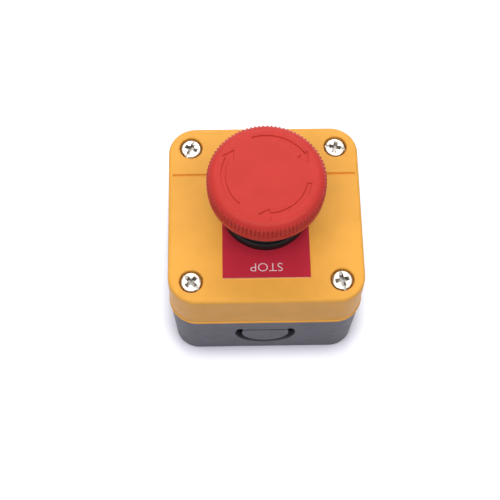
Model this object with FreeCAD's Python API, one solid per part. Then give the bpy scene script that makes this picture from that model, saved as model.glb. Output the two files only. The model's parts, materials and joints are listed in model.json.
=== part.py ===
import FreeCAD, Part
import math
import os
from FreeCAD import Vector

# Emergency stop push button in a surface box, in millimetres.
# The origin is the centre of the box's underside, +Z is up and +X runs along the label's width.
# The head turns and slides on the Z axis. It is drawn released, which is its highest place.

# Box
box_width = 68.0            # across the cover's lip, along X
box_depth = 68.0            # across the cover's lip, along Y
corner_radius = 10.0        # plan corner of the cover's lip
cover_height = 19.5         # side of the cover, from the parting line to its top
wall = 2.4                  # side walls of cover and base
cover_top = 2.6             # thickness of the cover's top
floor_thickness = 2.5       # thickness of the base's floor
lip_proud = 0.3             # how far the cover's lip stands out from its wall
lip_height = 1.2
base_draft = 1.2            # how far a base wall leans in from the parting line to the foot
foot_chamfer = 0.8
top_fillet = 1.2            # rounded edge round the cover's top
least_radius = 0.5          # smallest inner plan corner

# Seal between cover and base
tongue_thickness = 1.0
tongue_height = 2.0
tongue_clearance = 0.15
seal_height = 1.0
post_relief = 0.1           # gap between a cover post and the tongue

# Cover screws and their posts
screw_inset = 8.25          # screw axis in from the lip
screw_head_diameter = 7.2
screw_head_height = 2.3
screw_head_gap = 0.5        # gap all round the head in its recess
screw_recess_depth = 2.6
screw_shank_diameter = 3.9
screw_shank_length = 26.0
screw_hole_clearance = 0.25
thread_clearance = 0.03     # between a screw and the hole that its thread holds in
post_diameter = 9.4
rib_thickness = 2.0
pilot_spare = 2.0           # pilot hole beyond the screw's tip
screw_edge = 0.4            # bevel on the head and tip of every screw

# Groove across the cover's top
groove_from_axis = 14.8
groove_width = 1.1
groove_depth = 0.7
groove_end_margin = 1.5

# Knock-outs in two base walls, and the holes that fasten the base
knockout_diameter = 19.2    # middle of the slot round the disc
knockout_slot = 2.4
knockout_slot_angle = 222.0
knockout_fold_width = 1.0   # straight groove at the top, where the disc hangs on
knockout_fold_depth = 0.5
knockout_drop = 12.0        # centre below the parting line
mount_inset = 9.0           # mounting hole in from the lip
mount_hole_diameter = 4.5
mount_pad_diameter = 9.0
mount_pad_height = 0.8

# Label plate
label_width = 30.0
label_length = 40.0
label_back_margin = 3.85    # label beyond the panel hole, at the edge without lettering
label_thickness = 0.8
label_corner = 0.6

# Collar and threaded barrel
panel_hole_diameter = 22.3
barrel_diameter = 21.8
barrel_length = 15.4        # below the cover's top wall
barrel_chamfer = 0.6
collar_diameter = 30.0
collar_height = 3.2
collar_chamfer = 0.8
neck_foot_diameter = 26.4
neck_top_diameter = 24.8
neck_height = 8.0
neck_fillet = 0.6
collar_seal_width = 2.0
collar_seal_height = 1.0
seal_clearance = 0.1
key_width = 3.0
key_reach = 1.5             # key beyond the barrel
key_clearance = 0.1

# Lock nut
nut_diameter = 29.2
nut_height = 5.0
nut_chamfer = 0.8
nut_notches = 6
nut_notch_width = 4.0
nut_notch_depth = 1.6

# Mushroom cap
cap_diameter = 40.0
cap_height = 8.5            # rim to crown
crown_height = 27.5         # crown above the cover's top
cap_shoulder = 4.0          # radius of the crown's edge
cap_wall = 2.3
rim_teeth = 88
tooth_depth = 0.7           # the teeth stand this proud of the cap's wall
tooth_gap = 0.9             # width of a gap between teeth, at the rim
gap_floor = 0.1             # ring left on the wall below a gap
rim_band = 1.6              # plain band below the teeth
hub_diameter = 19.2
hub_overlap = 2.5           # hub inside the neck when the head is up
hub_clearance = 0.3
cap_ribs = 6
cap_rib_root = 0.4          # end of a rib inside the cap's wall and crown
cap_rib_thickness = 1.4
cap_rib_height = 2.6
socket_depth = 12.0

# Shaft, latch and motion
push_travel = 5.0
stop_gap = 0.3              # left free at the ends of the travel
running_clearance = 0.06    # radial, where a shaft slides or turns
shaft_diameter = 10.0
shaft_flats = 8.4           # across the flats in the cap's socket
shank_diameter = 8.0        # shaft below the latch
stub_diameter = 6.0         # shaft end in the push plate
carrier_diameter = 13.0
carrier_height = 4.6
web_thickness = 2.5
spring_bore_diameter = 17.2
latch_pin_diameter = 3.0
latch_pin_reach = 8.2       # pin tip from the axis
latch_pin_gap = 2.6         # pin's inner end from the axis
latch_slope = 0.2           # how far the cone leads a pin in for each millimetre of push
latch_tip_gap = 0.1
latch_lip = 1.4             # barrel below the shoulder that the pins catch
undercut_diameter = 17.2

# Return spring and latch spring
return_coil_diameter = 14.0
return_wire = 1.3
return_turns = 5
latch_coil_diameter = 2.2
latch_wire = 0.4
latch_turns = 4
spring_seat_gap = 0.05      # between a spring and its seats

# Push plate and clip
plate_gap = 0.5             # barrel's end to the push plate
plate_thickness = 3.1
plate_diameter = 17.6
plate_tab_width = 4.0
plate_tab_reach = 12.4
tab_clearance = 0.2
clip_diameter = 8.8
clip_thickness = 0.8
clip_groove = 0.5
clip_recess_diameter = 9.8
clip_recess_depth = 1.4

# Contact holder
holder_wall = 2.2
holder_grip = 6.0           # height of the ring on the barrel
grip_clearance = 0.04
holder_plate = 2.0
holder_side_margin = 2.1    # holder's plate beyond the blocks' sides
holder_end_margin = 0.7     # holder's plate beyond the blocks' ends
holder_hole_diameter = 18.4
holder_window = 12.0
holder_window_margin = 1.0
clamp_screw_diameter = 3.0
clamp_screw_stand_out = 1.0

# Contact blocks
block_width = 11.0
block_length = 33.0
block_height = 14.8
block_gap = 0.6             # between the two blocks
block_wall = 1.2
block_inner_wall = 1.4      # wall beside the other block
chamber_length = 16.0
partition = 0.8
terminal_ceiling = 8.2      # terminal space above the block's underside
block_screw_inset = 2.2     # screw in from the block's end
block_screw_diameter = 2.4
block_screw_head = 4.0
block_screw_head_height = 1.6
block_screw_length = 7.0

# Contacts
contact_gap = 0.1
strip_thickness = 0.8
strip_width = 5.0
strip_level = 4.5           # underside of a terminal strip above the block's underside
strip_inner_end = 3.2
strip_end_inset = 1.0       # strip's outer end in from the block's end
strip_rise_at = 6.8         # where a normally closed strip turns up
tip_diameter = 1.8
tip_height = 0.4
tip_from_axis = 4.6
bridge_half_length = 5.8
bridge_width = 4.0
bridge_thickness = 0.8
closed_bridge_level = 9.5   # top of the normally closed bridge above the block's underside
pin_diameter = 3.6
pin_tail_diameter = 1.8
pin_tail_length = 1.4
pin_collar_diameter = 5.2
pin_collar_height = 1.0
contact_coil_diameter = 3.6
contact_wire = 0.5
closed_turns = 4
open_turns = 5
terminal_screw_diameter = 3.0
terminal_head_diameter = 5.6
terminal_head_height = 2.4
terminal_screw_rise = 2.0   # screw beyond the strip
clamp_width = 6.4
clamp_end_gap = 0.65        # between a wire clamp and the ends of its terminal space
clamp_thickness = 1.2

# The box is as deep as the parts that hang under its cover need.
floor_gap = 1.7             # contact blocks above the floor

# Heights that follow from the sizes above
z_block = floor_thickness + floor_gap
z_block_top = z_block + block_height
z_holder_top = z_block_top + holder_plate
z_plate = z_holder_top + stop_gap + contact_gap + push_travel
z_plate_top = z_plate + plate_thickness
z_barrel = z_plate_top + plate_gap
z_shoulder = z_barrel + latch_lip
z_latch = z_shoulder + latch_pin_diameter / 2 + push_travel
z_carrier = z_latch - carrier_height / 2
z_carrier_top = z_latch + carrier_height / 2
z_web = z_carrier_top + stop_gap
z_web_top = z_web + web_thickness
z_panel = z_barrel + barrel_length
z_cover_top = z_panel + cover_top
z_parting = z_cover_top - cover_height
z_label_top = z_cover_top + label_thickness
z_collar_top = z_label_top + collar_height
z_neck_top = z_collar_top + neck_height
z_crown = z_cover_top + crown_height
z_rim = z_crown - cap_height
z_hub = z_neck_top - hub_overlap
z_neck_floor = z_hub - push_travel - stop_gap
z_socket_top = z_hub + socket_depth

# Plan places that follow
screw_x = box_width / 2 - screw_inset
screw_y = box_depth / 2 - screw_inset
screw_places = [(sx * screw_x, sy * screw_y) for sx in (-1, 1) for sy in (-1, 1)]
mount_y = box_depth / 2 - mount_inset
pin_x = (block_gap + block_inner_wall + block_width - block_wall) / 2
pin_top = z_plate - contact_gap
block_end = block_length / 2
block_screw_y = block_end - block_screw_inset
terminal_start = chamber_length / 2 + partition
terminal_y = (terminal_start + block_end) / 2
chamber_floor = z_block + block_wall
chamber_ceiling = z_block_top - block_wall
post_overlap = wall / 2     # ribs run this far into the wall they join
cut_over = 1.0              # cutting tools run this far past a face


# Shapes that several pieces use

def cylinder(diameter, low, high, x=0.0, y=0.0):
    return Part.makeCylinder(diameter / 2, high - low, Vector(x, y, low))


def ring(outer, inner, low, high):
    return cylinder(outer, low, high).cut(cylinder(inner, low - cut_over, high + cut_over))


def block(x, y, z):
    """Box between the lower and upper ends given for each axis."""
    return Part.makeBox(x[1] - x[0], y[1] - y[0], z[1] - z[0], Vector(x[0], y[0], z[0]))


def fuse(shapes):
    return shapes[0].multiFuse(shapes[1:]).removeSplitter()


def turned(outline):
    """Turned solid about Z. A step is a corner (radius, z), or (middle, end) for an arc."""
    def at(corner):
        return Vector(corner[0], 0, corner[1])
    edges = []
    here = outline[0]
    for step in outline[1:] + outline[:1]:
        if isinstance(step[0], tuple):
            edges.append(Part.Arc(at(here), at(step[0]), at(step[1])).toShape())
            here = step[1]
        else:
            edges.append(Part.makeLine(at(here), at(step)))
            here = step
    return Part.Face(Part.Wire(edges)).revolve(Vector(0, 0, 0), Vector(0, 0, 1), 360)


def coil(middle_diameter, wire, low, high, turns):
    """Square-wire spring that fills the height from low to high."""
    rise = high - low - wire
    helix = Part.makeHelix(rise / turns, rise, middle_diameter / 2)
    near = (middle_diameter - wire) / 2
    far = (middle_diameter + wire) / 2
    half = wire / 2
    corners = [Vector(near, 0, -half), Vector(far, 0, -half), Vector(far, 0, half), Vector(near, 0, half)]
    spring = Part.Wire(helix).makePipeShell([Part.makePolygon(corners + corners[:1])], True, True)
    if spring.Volume < 0:
        spring.reverse()
    spring.translate(Vector(0, 0, low + wire / 2))
    return spring


def rounded_rectangle(x, y, radius, z):
    """Wire of a rectangle with round corners, between the ends given for x and y."""
    edges = []
    inner = [(x[1] - radius, y[1] - radius), (x[0] + radius, y[1] - radius),
             (x[0] + radius, y[0] + radius), (x[1] - radius, y[0] + radius)]
    for quarter, (cx, cy) in enumerate(inner):
        circle = Part.Circle(Vector(cx, cy, z), Vector(0, 0, 1), radius)
        edges.append(Part.Arc(circle, quarter * math.pi / 2, (quarter + 1) * math.pi / 2).toShape())
    corners = list(edges)
    for quarter, arc in enumerate(corners):
        following = corners[(quarter + 1) % 4]
        start = arc.valueAt(arc.LastParameter)
        edges.append(Part.makeLine(start, following.valueAt(following.FirstParameter)))
    return Part.Wire(Part.__sortEdges__(edges))


def box_wire(inset, z):
    """The box's plan outline, moved in from the cover's lip."""
    half_x = box_width / 2 - inset
    half_y = box_depth / 2 - inset
    radius = max(corner_radius - inset, least_radius)
    return rounded_rectangle((-half_x, half_x), (-half_y, half_y), radius, z)


def box_prism(inset, low, high):
    return Part.Face(box_wire(inset, low)).extrude(Vector(0, 0, high - low))


def corner_posts(low, high):
    """Round screw posts with a rib to each of the two walls beside them."""
    pieces = []
    for x, y in screw_places:
        pieces.append(cylinder(post_diameter, low, high, x, y))
        end_x = math.copysign(box_width / 2 - lip_proud - post_overlap, x)
        end_y = math.copysign(box_depth / 2 - lip_proud - post_overlap, y)
        half = rib_thickness / 2
        pieces.append(block(sorted((x, end_x)), (y - half, y + half), (low, high)))
        pieces.append(block((x - half, x + half), sorted((y, end_y)), (low, high)))
    return fuse(pieces)


def keyed_hole(low, high):
    """Hole for the barrel, with the notch that stops it turning."""
    half = key_width / 2 + key_clearance
    reach = barrel_diameter / 2 + key_reach + key_clearance
    notch = block((-half, half), (-reach, 0), (low, high))
    return cylinder(panel_hole_diameter, low, high).fuse(notch)


# Box

def base_inset(z):
    return lip_proud + base_draft * (1 - z / z_parting)


def knockout_tool():
    """Slot through the wall round a disc and a groove between the slot's ends, on the wall at -Y."""
    outer = knockout_diameter + knockout_slot
    inner = knockout_diameter - knockout_slot
    through = wall + cut_over
    half_gap = math.radians(360 - knockout_slot_angle) / 2
    side = outer * math.tan(half_gap)
    corners = [Vector(0, 0, -cut_over), Vector(-side, -outer, -cut_over), Vector(side, -outer, -cut_over)]
    wedge = Part.Face(Part.makePolygon(corners + corners[:1]))
    wedge = wedge.extrude(Vector(0, 0, through + 2 * cut_over))
    slot = ring(outer, inner, -cut_over, through).cut(wedge)
    end_x = knockout_diameter / 2 * math.sin(half_gap)
    end_y = -knockout_diameter / 2 * math.cos(half_gap)
    round_ends = [cylinder(knockout_slot, -cut_over, through, side * end_x, end_y) for side in (-1, 1)]
    fold = block((-end_x, end_x), (end_y - knockout_fold_width / 2, end_y + knockout_fold_width / 2),
                 (-cut_over, knockout_fold_depth))
    tool = fuse([slot, fold] + round_ends)
    lean = math.degrees(math.atan(base_draft / z_parting))
    tool.rotate(Vector(0, 0, 0), Vector(1, 0, 0), lean - 90)
    height = z_parting - knockout_drop
    tool.translate(Vector(0, base_inset(height) - box_depth / 2, height))
    return tool


def make_base():
    foot = box_wire(base_inset(0) + foot_chamfer, 0)
    chamfer_end = box_wire(base_inset(foot_chamfer), foot_chamfer)
    outer = Part.makeLoft([foot, chamfer_end, box_wire(lip_proud, z_parting)], True, True)
    cavity_foot = box_wire(base_inset(floor_thickness) + wall, floor_thickness)
    cavity = Part.makeLoft([cavity_foot, box_wire(lip_proud + wall, z_parting)], True, True)
    tongue_inner = lip_proud + wall
    tongue = box_prism(tongue_inner - tongue_thickness, z_parting, z_parting + tongue_height)
    tongue = tongue.cut(box_prism(tongue_inner, z_parting - cut_over, z_parting + tongue_height + cut_over))
    posts = corner_posts(floor_thickness, z_parting).common(outer)
    pad_top = floor_thickness + mount_pad_height
    pads = [cylinder(mount_pad_diameter, floor_thickness, pad_top, 0, side * mount_y) for side in (-1, 1)]
    base = fuse([outer.cut(cavity), tongue, posts] + pads)
    tip = z_cover_top - screw_recess_depth - screw_shank_length - pilot_spare
    holes = [cylinder(screw_shank_diameter + 2 * thread_clearance, tip, z_parting + cut_over, x, y)
             for x, y in screw_places]
    holes += [cylinder(mount_hole_diameter, -cut_over, pad_top + cut_over, 0, side * mount_y)
              for side in (-1, 1)]
    front = knockout_tool()
    back = front.mirror(Vector(0, 0, 0), Vector(0, 1, 0))
    return base.cut(holes + [front, back])


def make_cover():
    body = box_prism(lip_proud, z_parting, z_cover_top)
    top_edges = [e for e in body.Edges if e.BoundBox.ZMin > z_cover_top - cut_over / 2]
    body = body.makeFillet(top_fillet, top_edges)
    lip = Part.makeLoft([box_wire(0, z_parting), box_wire(0, z_parting + lip_height - lip_proud),
                         box_wire(lip_proud, z_parting + lip_height)], True, True)
    cavity_inset = lip_proud + wall
    rebate_top = z_parting + tongue_height + seal_height
    cavity = box_prism(cavity_inset, z_parting - cut_over, z_panel)
    rebate = box_prism(cavity_inset - tongue_thickness - tongue_clearance, z_parting - cut_over, rebate_top)
    shell = body.fuse(lip).cut([cavity, rebate])
    upper_posts = corner_posts(rebate_top, z_panel)
    lower_posts = [cylinder(post_diameter, z_parting, rebate_top, x, y) for x, y in screw_places]
    lower_posts = Part.makeCompound(lower_posts).common(
        box_prism(cavity_inset + post_relief, z_parting, rebate_top))
    cover = fuse([shell, upper_posts] + lower_posts.Solids)
    shank_hole = screw_shank_diameter + 2 * screw_hole_clearance
    recess = screw_head_diameter + 2 * screw_head_gap
    tools = [keyed_hole(z_panel - cut_over, z_cover_top + cut_over)]
    for x, y in screw_places:
        tools.append(cylinder(shank_hole, z_parting - cut_over, z_cover_top + cut_over, x, y))
        tools.append(cylinder(recess, z_cover_top - screw_recess_depth, z_cover_top + cut_over, x, y))
    groove_half = box_width / 2 - lip_proud - groove_end_margin
    tools.append(block((-groove_half, groove_half),
                       (groove_from_axis - groove_width / 2, groove_from_axis + groove_width / 2),
                       (z_cover_top - groove_depth, z_cover_top + cut_over)))
    return cover.cut(tools)


def make_cover_gasket():
    low = z_parting + tongue_height
    inner = lip_proud + wall
    outside = box_prism(inner - tongue_thickness, low, low + seal_height)
    return outside.cut(box_prism(inner, low - cut_over, low + seal_height + cut_over))


def screw_blank(head, head_height, shank, length):
    """Screw with its seat at z = 0 and its head above."""
    rim = head / 2 - screw_edge
    tip = shank / 2 - screw_edge
    return turned([(0, head_height), (rim, head_height), (head / 2, head_height - screw_edge), (head / 2, 0),
                   (shank / 2, 0), (shank / 2, screw_edge - length), (tip, -length), (0, -length)])


def make_cover_screws():
    seat = z_cover_top - screw_recess_depth
    screws = []
    for x, y in screw_places:
        screw = screw_blank(screw_head_diameter, screw_head_height, screw_shank_diameter, screw_shank_length)
        screw.translate(Vector(x, y, seat))
        screws.append(screw)
    return Part.makeCompound(screws)


# Button head

def make_label_plate():
    back = panel_hole_diameter / 2 + label_back_margin
    outline = rounded_rectangle((-label_width / 2, label_width / 2), (back - label_length, back),
                                label_corner, z_cover_top)
    plate = Part.Face(outline).extrude(Vector(0, 0, label_thickness))
    return plate.cut(keyed_hole(z_cover_top - cut_over, z_label_top + cut_over))


def cone_radius(z):
    """Bore that leads the latch pins in as the head goes down."""
    return latch_pin_reach + latch_tip_gap - latch_slope * (z_latch - z)


def make_bezel_bushing():
    neck_foot = neck_foot_diameter / 2
    neck_top = neck_top_diameter / 2
    collar = collar_diameter / 2
    barrel = barrel_diameter / 2
    seal_top = z_label_top + collar_seal_height
    seal_edge = barrel + collar_seal_width + 2 * seal_clearance
    neck_bore = hub_diameter / 2 + hub_clearance
    guide = shaft_diameter / 2 + running_clearance
    spring_bore = spring_bore_diameter / 2
    body = turned([
        (neck_bore, z_neck_top), (neck_top - neck_fillet, z_neck_top), (neck_top, z_neck_top - neck_fillet),
        (neck_foot, z_collar_top), (collar - collar_chamfer, z_collar_top),
        (collar, z_collar_top - collar_chamfer), (collar, z_label_top),
        (seal_edge, z_label_top), (seal_edge, seal_top), (barrel, seal_top),
        (barrel, z_barrel + barrel_chamfer), (barrel - barrel_chamfer, z_barrel),
        (undercut_diameter / 2, z_barrel), (undercut_diameter / 2, z_shoulder),
        (cone_radius(z_shoulder), z_shoulder), (cone_radius(z_web), z_web),
        (guide, z_web), (guide, z_web_top), (spring_bore, z_web_top), (spring_bore, z_neck_floor),
        (neck_bore, z_neck_floor)])
    key = block((-key_width / 2, key_width / 2), (-barrel - key_reach, -barrel + barrel_chamfer),
                (z_panel, z_label_top))
    return body.fuse(key).removeSplitter()


def make_bezel_gasket():
    inner = barrel_diameter + 2 * seal_clearance
    return ring(inner + 2 * collar_seal_width, inner, z_label_top, z_label_top + collar_seal_height)


def make_lock_nut():
    outer = nut_diameter / 2
    inner = barrel_diameter / 2 + thread_clearance
    low = z_panel - nut_height
    nut = turned([(inner, z_panel), (outer - nut_chamfer, z_panel), (outer, z_panel - nut_chamfer),
                  (outer, low + nut_chamfer), (outer - nut_chamfer, low), (inner, low)])
    notches = []
    for number in range(nut_notches):
        notch = block((outer - nut_notch_depth, outer + cut_over),
                      (-nut_notch_width / 2, nut_notch_width / 2),
                      (low - cut_over, z_panel + cut_over))
        notch.rotate(Vector(0, 0, 0), Vector(0, 0, 1), 360 * number / nut_notches)
        notches.append(notch)
    return nut.cut(notches)


def flatted_bar(diameter, flats, low, high):
    """Round bar with two flats, which the cap's socket turns with."""
    slab = block((-diameter, diameter), (-flats / 2, flats / 2), (low, high))
    return cylinder(diameter, low, high).common(slab)


def make_mushroom_cap():
    rim = cap_diameter / 2
    wall = rim - tooth_depth
    inside = rim - cap_wall
    ceiling = z_crown - cap_wall
    half_turn = math.sqrt(0.5)
    z_shoulder_end = z_crown - cap_shoulder
    shoulder_middle = (wall - cap_shoulder * (1 - half_turn), z_crown - cap_shoulder * (1 - half_turn))
    inner_turn = cap_shoulder / 2
    inner_middle = (inside - inner_turn * (1 - half_turn), ceiling - inner_turn * (1 - half_turn))
    cap = turned([
        (0, z_crown), (wall - cap_shoulder, z_crown), (shoulder_middle, (wall, z_shoulder_end)),
        (rim, z_shoulder_end - tooth_depth), (rim, z_rim + rim_band + tooth_depth), (wall, z_rim + rim_band),
        (wall, z_rim), (inside, z_rim), (inside, ceiling - inner_turn),
        (inner_middle, (inside - inner_turn, ceiling)), (hub_diameter / 2, ceiling),
        (hub_diameter / 2, z_hub), (0, z_hub)])
    ribs = []
    for number in range(cap_ribs):
        rib = block((hub_diameter / 2 - cap_rib_thickness, inside + cap_rib_root),
                    (-cap_rib_thickness / 2, cap_rib_thickness / 2),
                    (ceiling - cap_rib_height, ceiling + cap_rib_root))
        rib.rotate(Vector(0, 0, 0), Vector(0, 0, 1), 360 * number / cap_ribs)
        ribs.append(rib)
    cap = fuse([cap] + ribs)
    socket = flatted_bar(shaft_diameter, shaft_flats, z_hub - cut_over, z_socket_top)
    return cap.cut([socket] + tooth_gaps())


def tooth_gaps():
    """V-shaped gaps between the rim's teeth."""
    rim = cap_diameter / 2
    low = z_rim + rim_band - cut_over
    high = z_crown - cap_shoulder + cut_over
    depth = tooth_depth - gap_floor
    root = Vector(rim - depth, 0, low)
    gaps = []
    for number in range(rim_teeth):
        outline = Part.makePolygon([root, Vector(rim + depth, -tooth_gap, low),
                                    Vector(rim + depth, tooth_gap, low), root])
        gap = Part.Face(outline).extrude(Vector(0, 0, high - low))
        gap.rotate(Vector(0, 0, 0), Vector(0, 0, 1), 360 * number / rim_teeth)
        gaps.append(gap)
    return gaps


def make_plunger_shaft():
    stub_end = z_plate + clip_recess_depth - 2 * clip_thickness
    groove_low, groove_high = clip_heights()
    shaft = fuse([
        flatted_bar(shaft_diameter, shaft_flats, z_hub, z_socket_top),
        cylinder(shaft_diameter, z_carrier_top, z_hub),
        cylinder(carrier_diameter, z_carrier, z_carrier_top),
        cylinder(shank_diameter, z_plate_top + contact_gap, z_carrier),
        cylinder(stub_diameter, stub_end, z_plate_top + contact_gap)])
    groove = ring(stub_diameter + 2 * cut_over, stub_diameter - 2 * clip_groove, groove_low, groove_high)
    cross_hole = cylinder(latch_pin_diameter + 2 * running_clearance, -carrier_diameter, carrier_diameter)
    return shaft.cut([groove, along_x(cross_hole)])


def along_x(shape):
    """Turns a shape made about Z so that it lies along X at the latch's height."""
    turned_shape = shape.copy()
    turned_shape.rotate(Vector(0, 0, 0), Vector(0, 1, 0), 90)
    turned_shape.translate(Vector(0, 0, z_latch))
    return turned_shape


def clip_heights():
    high = z_plate + clip_recess_depth - contact_gap
    return high - clip_thickness, high


def make_retaining_clip():
    low, high = clip_heights()
    clip = ring(clip_diameter, stub_diameter - 2 * clip_groove, low, high)
    mouth = block((0, clip_diameter), (clip_groove - stub_diameter / 2, stub_diameter / 2 - clip_groove),
                  (low - cut_over, high + cut_over))
    return clip.cut(mouth)


def make_latch_pin(side):
    radius = latch_pin_diameter / 2
    middle = math.sqrt(0.5) * radius
    nose = latch_pin_reach - radius
    pin = turned([(0, latch_pin_reach), ((middle, nose + middle), (radius, nose)),
                  (radius, latch_pin_gap), (0, latch_pin_gap)])
    pin = along_x(pin)
    if side < 0:
        pin.rotate(Vector(0, 0, 0), Vector(0, 0, 1), 180)
    return pin


def make_latch_spring():
    half = latch_pin_gap - spring_seat_gap
    return along_x(coil(latch_coil_diameter, latch_wire, -half, half, latch_turns))


def make_return_spring():
    return coil(return_coil_diameter, return_wire, z_web_top + spring_seat_gap, z_hub - spring_seat_gap,
                return_turns)


def make_push_plate():
    plate = cylinder(plate_diameter, z_plate, z_plate_top)
    half = plate_tab_width / 2
    tabs = block((-half, half), (-plate_tab_reach, plate_tab_reach), (z_plate, z_plate_top))
    bore = cylinder(stub_diameter + 2 * running_clearance, z_plate - cut_over, z_plate_top + cut_over)
    recess = cylinder(clip_recess_diameter, z_plate - cut_over, z_plate + clip_recess_depth)
    return plate.fuse(tabs).removeSplitter().cut([bore, recess])


# Contact holder and blocks

def make_contact_holder():
    bore = barrel_diameter + 2 * grip_clearance
    outer = bore + 2 * holder_wall
    top = z_barrel + holder_grip
    tube = ring(outer, bore, z_holder_top, top)
    half_width = block_gap / 2 + block_width + holder_side_margin
    half_length = block_end + holder_end_margin
    plate = block((-half_width, half_width), (-half_length, half_length), (z_block_top, z_holder_top))
    plate_hole = cylinder(holder_hole_diameter, z_block_top - cut_over, z_holder_top + cut_over)
    holder = plate.cut(plate_hole).fuse(tube)
    half = holder_window / 2
    window = block((-outer, outer), (-half, half),
                   (z_holder_top + holder_window_margin, z_barrel - holder_window_margin))
    slot_half = plate_tab_width / 2 + tab_clearance
    slot = block((-slot_half, slot_half), (-outer, outer), (z_holder_top, top + cut_over))
    clamp_hole = clamp_screw(bore / 2 - cut_over, outer + cut_over, thread_clearance)
    screws = [cylinder(block_screw_diameter + 2 * screw_hole_clearance, z_block_top - cut_over,
                       z_holder_top + cut_over, x, y) for x, y in block_screw_places()]
    return holder.removeSplitter().cut([window, slot, clamp_hole] + screws)


def clamp_screw(start, end, clearance):
    """Grub screw along +X in the holder's ring."""
    screw = cylinder(clamp_screw_diameter + 2 * clearance, start, end)
    screw.rotate(Vector(0, 0, 0), Vector(0, 1, 0), 90)
    screw.translate(Vector(0, 0, z_barrel + holder_grip / 2))
    return screw


def make_holder_screw():
    start = barrel_diameter / 2
    return clamp_screw(start, start + holder_wall + clamp_screw_stand_out, 0)


def block_screw_places():
    return [(sx * pin_x, sy * block_screw_y) for sx in (-1, 1) for sy in (-1, 1)]


def make_block_screws():
    screws = []
    for x, y in block_screw_places():
        screw = screw_blank(block_screw_head, block_screw_head_height, block_screw_diameter,
                            block_screw_length)
        screw.translate(Vector(x, y, z_holder_top))
        screws.append(screw)
    return Part.makeCompound(screws)


def block_x(side, near, far):
    """X ends of a slice of a block, counted from its inner face."""
    inner = block_gap / 2
    return sorted((side * (inner + near), side * (inner + far)))


def make_housing(side):
    body_width = block_width - block_wall
    inside = block_x(side, block_inner_wall, body_width + cut_over)
    body = block(block_x(side, 0, body_width), (-block_end, block_end), (z_block, z_block_top))
    chamber = block(inside, (-chamber_length / 2, chamber_length / 2), (chamber_floor, chamber_ceiling))
    tools = [chamber, cylinder(pin_diameter + 2 * running_clearance, chamber_ceiling - cut_over,
                               z_block_top + cut_over, side * pin_x)]
    strip_low = z_block + strip_level
    for end in (-1, 1):
        tools.append(block(inside, sorted((end * terminal_start, end * (block_end + cut_over))),
                           (z_block - cut_over, z_block + terminal_ceiling)))
        tools.append(block(strip_x(side), sorted((end * chamber_length / 4, end * block_end)),
                           (strip_low, strip_low + strip_thickness)))
        tools.append(cylinder(block_screw_diameter + 2 * thread_clearance,
                              z_holder_top - block_screw_length - thread_clearance, z_block_top + cut_over,
                              side * pin_x, end * block_screw_y))
    return body.cut(tools)


def make_side_plate(side):
    return block(block_x(side, block_width - block_wall, block_width), (-block_end, block_end),
                 (z_block, z_block_top))


def strip_x(side):
    return (side * pin_x - strip_width / 2, side * pin_x + strip_width / 2)


def make_contacts(side, closed):
    """Two fixed strips. A normally closed pair is over its bridge, a normally open pair under it."""
    low = z_block + strip_level
    high = low + strip_thickness
    outer_end = block_end - strip_end_inset
    contacts = []
    for end in (-1, 1):
        def along(near, far):
            return sorted((end * near, end * far))
        if closed:
            arm_low = z_block + closed_bridge_level + tip_height + contact_gap + tip_height
            arm_high = arm_low + strip_thickness
            rise_end = strip_rise_at + strip_thickness
            pieces = [block(strip_x(side), along(strip_rise_at, outer_end), (low, high)),
                      block(strip_x(side), along(strip_rise_at, rise_end), (low, arm_high)),
                      block(strip_x(side), along(strip_inner_end, rise_end), (arm_low, arm_high)),
                      cylinder(tip_diameter, arm_low - tip_height, arm_low, side * pin_x,
                               end * tip_from_axis)]
        else:
            pieces = [block(strip_x(side), along(strip_inner_end, outer_end), (low, high)),
                      cylinder(tip_diameter, high, high + tip_height, side * pin_x, end * tip_from_axis)]
        hole = cylinder(terminal_screw_diameter + 2 * thread_clearance, low - cut_over, high + cut_over,
                        side * pin_x, end * terminal_y)
        contacts.append(fuse(pieces).cut(hole))
    return Part.makeCompound(contacts)


def bridge_heights(closed):
    if closed:
        top = z_block + closed_bridge_level
        return top - bridge_thickness, top
    low = z_block + strip_level + strip_thickness + tip_height + contact_gap + push_travel + tip_height
    return low, low + bridge_thickness


def make_bridge(side, closed):
    low, high = bridge_heights(closed)
    x = side * pin_x
    bar = block((x - bridge_width / 2, x + bridge_width / 2), (-bridge_half_length, bridge_half_length),
                (low, high))
    tips = []
    for end in (-1, 1):
        tip_low, tip_high = (high, high + tip_height) if closed else (low - tip_height, low)
        tips.append(cylinder(tip_diameter, tip_low, tip_high, x, end * tip_from_axis))
    hole = cylinder(pin_tail_diameter + 2 * thread_clearance, low - cut_over, high + cut_over, x)
    return fuse([bar] + tips).cut(hole)


def make_contact_pin(side, closed):
    low, high = bridge_heights(closed)
    x = side * pin_x
    collar_top = chamber_ceiling - stop_gap
    return fuse([cylinder(pin_diameter, high, pin_top, x),
                 cylinder(pin_collar_diameter, collar_top - pin_collar_height, collar_top, x),
                 cylinder(pin_tail_diameter, low - pin_tail_length, high, x)])


def make_contact_spring(side, closed):
    low, high = bridge_heights(closed)
    turns = closed_turns if closed else open_turns
    spring = coil(contact_coil_diameter, contact_wire, chamber_floor + spring_seat_gap,
                  low - spring_seat_gap, turns)
    spring.translate(Vector(side * pin_x, 0, 0))
    return spring


def make_terminal_screws(side):
    seat = z_block + strip_level - clamp_thickness
    length = clamp_thickness + strip_thickness + terminal_screw_rise
    screws = []
    for end in (-1, 1):
        screw = screw_blank(terminal_head_diameter, terminal_head_height, terminal_screw_diameter, length)
        screw.rotate(Vector(0, 0, 0), Vector(1, 0, 0), 180)
        screw.translate(Vector(side * pin_x, end * terminal_y, seat))
        screws.append(screw)
    return Part.makeCompound(screws)


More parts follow.
